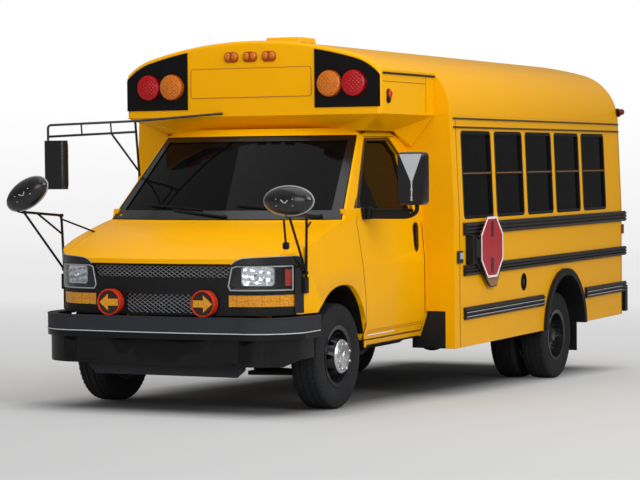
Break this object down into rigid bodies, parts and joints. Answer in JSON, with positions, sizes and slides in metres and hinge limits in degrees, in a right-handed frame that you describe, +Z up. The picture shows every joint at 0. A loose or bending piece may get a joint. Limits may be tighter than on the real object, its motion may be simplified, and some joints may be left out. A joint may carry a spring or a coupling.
{
  "type": "small school bus",
  "caption": "Small school bus on a van chassis: hollow cab and passenger body with opening doors, hood, stop arm, steering and rolling wheels.",
  "frame": {"origin": "middle of the footprint on the ground: halfway between the foremost mirrors and the rear bumper, and between the two wide mirrors", "axes": "+Z up, +Y to the rear of the bus, +X to the left of the bus as its driver sits"},
  "size_m": [2.902, 6.8816, 2.8366],
  "materials": {
    "bus_yellow": "gloss",
    "black_paint": "satin",
    "bumper_black": "satin",
    "black_plastic": "fine grain",
    "tinted_glass": "tinted",
    "lens_clear": "clear",
    "lens_red": "ribbed lens",
    "lens_amber": "ribbed lens",
    "sign_red": "reflective",
    "wheel_black": "satin",
    "hub_silver": "bright",
    "tyre_rubber": "matte",
    "chassis_black": "matte",
    "cast_grey": "rough",
    "exhaust_steel": "dull",
    "seat_vinyl": "vinyl grain",
    "floor_rubber": "ribbed"
  },
  "bodies": {
    "root": {"body_side_left": "bus_yellow", "body_side_right": "bus_yellow", "roof": "bus_yellow", "rear_wall": "bus_yellow", "front_cap": "bus_yellow", "cap_soffit": "bus_yellow", "cab_shell": "bus_yellow", "floor": "floor_rubber", "windshield": "tinted_glass", "side_glass": "tinted_glass", "window_frames": "black_paint", "rub_rails": "black_paint", "lamp_panels": "black_paint", "stop_housing": "black_paint", "rear_bumper": "bumper_black", "front_bumper": "bumper_black", "grille": "black_plastic", "rear_flares": "black_plastic", "entrance_mirror": "black_plastic", "crossview_mirrors": "black_plastic", "dashboard": "black_plastic", "grille_mesh": "black_plastic", "fuel_filler": "black_plastic", "headlamps": "lens_clear", "red_lamps": "lens_red", "amber_lamps": "lens_amber", "turn_signals": "lens_amber", "arrow_lamps": "lens_amber", "chassis_frame": "chassis_black", "fuel_tank": "chassis_black", "front_suspension": "chassis_black", "rear_axle": "chassis_black", "engine_block": "cast_grey", "exhaust": "exhaust_steel", "seats": "seat_vinyl"},
    "driver_door": {"driver_door": "bus_yellow", "driver_door_glass": "tinted_glass", "driver_mirror": "black_plastic", "door_handle": "black_plastic"},
    "hood": {"hood": "bus_yellow"},
    "entrance_front": {"entrance_leaf_front": "black_paint", "entrance_glass_front": "tinted_glass"},
    "entrance_rear": {"entrance_leaf_rear": "black_paint", "entrance_glass_rear": "tinted_glass"},
    "emergency_door": {"emergency_door": "bus_yellow", "emergency_door_glass": "tinted_glass"},
    "stop_arm": {"stop_sign": "sign_red"},
    "steering_wheel": {"steering_wheel": "black_plastic"},
    "knuckle_left": {"knuckle_left": "chassis_black"},
    "knuckle_right": {"knuckle_right": "chassis_black"},
    "wheel_front_left": {"tyre_front_left": "tyre_rubber", "rim_front_left": "wheel_black", "hub_cap_left": "hub_silver"},
    "wheel_front_right": {"tyre_front_right": "tyre_rubber", "rim_front_right": "wheel_black", "hub_cap_right": "hub_silver"},
    "wheels_rear_left": {"tyres_rear_left": "tyre_rubber", "rims_rear_left": "wheel_black"},
    "wheels_rear_right": {"tyres_rear_right": "tyre_rubber", "rims_rear_right": "wheel_black"}
  },
  "joints": [
    {"name": "driver_door_hinge", "type": "hinge", "parent": "root", "child": "driver_door", "pos_m": [0.992, -2.03623, 1.01452], "axis": [0, 0.0349, -0.9994], "range_deg": [0, 65]},
    {"name": "hood_hinge", "type": "hinge", "parent": "root", "child": "hood", "pos_m": [0, -2.62411, 1.31619], "axis": [-1, 0, 0], "range_deg": [0, 50]},
    {"name": "entrance_front_hinge", "type": "hinge", "parent": "root", "child": "entrance_front", "pos_m": [-1.224, -1.44027, 1.23545], "axis": [0, -0.0349, 0.9994], "range_deg": [0, 90]},
    {"name": "entrance_rear_hinge", "type": "hinge", "parent": "root", "child": "entrance_rear", "pos_m": [-1.224, -0.81126, 1.25742], "axis": [0, 0.0349, -0.9994], "range_deg": [0, 90]},
    {"name": "emergency_door_hinge", "type": "hinge", "parent": "root", "child": "emergency_door", "pos_m": [-0.3453, 3.2893, 1.5507], "axis": [0, -0.0349, 0.9994], "range_deg": [0, 105]},
    {"name": "stop_arm_hinge", "type": "hinge", "parent": "root", "child": "stop_arm", "pos_m": [1.271, -0.62118, 1.12397], "axis": [0, 0.0349, -0.9994], "range_deg": [0, 90]},
    {"name": "steer_left", "type": "hinge", "parent": "root", "child": "knuckle_left", "pos_m": [0.785, -2.44105, 0.372], "axis": [0, -0.0349, 0.9994], "range_deg": [-32, 32]},
    {"name": "steer_right", "type": "hinge", "parent": "root", "child": "knuckle_right", "pos_m": [-0.785, -2.44105, 0.372], "axis": [0, -0.0349, 0.9994], "range_deg": [-32, 32]},
    {"name": "steering_wheel_turn", "type": "hinge", "parent": "root", "child": "steering_wheel", "pos_m": [0.48, -1.87136, 1.25042], "axis": [0, 0.7986, 0.6018], "range_deg": [-448, 448]},
    {"name": "wheel_front_left_spin", "type": "hinge", "parent": "knuckle_left", "child": "wheel_front_left", "pos_m": [0.86, -2.44105, 0.372], "axis": [1, 0, 0], "continuous": true},
    {"name": "wheel_front_right_spin", "type": "hinge", "parent": "knuckle_right", "child": "wheel_front_right", "pos_m": [-0.86, -2.44105, 0.372], "axis": [1, 0, 0], "continuous": true},
    {"name": "wheels_rear_left_spin", "type": "hinge", "parent": "root", "child": "wheels_rear_left", "pos_m": [0.9225, 1.59795, 0.372], "axis": [1, 0, 0], "continuous": true},
    {"name": "wheels_rear_right_spin", "type": "hinge", "parent": "root", "child": "wheels_rear_right", "pos_m": [-0.9225, 1.59795, 0.372], "axis": [1, 0, 0], "continuous": true}
  ],
  "couplings": [
    {"joint": "steer_right", "follows": "steer_left", "ratio": 1},
    {"joint": "steering_wheel_turn", "follows": "steer_left", "ratio": 14},
    {"joint": "entrance_rear_hinge", "follows": "entrance_front_hinge", "ratio": 1}
  ]
}
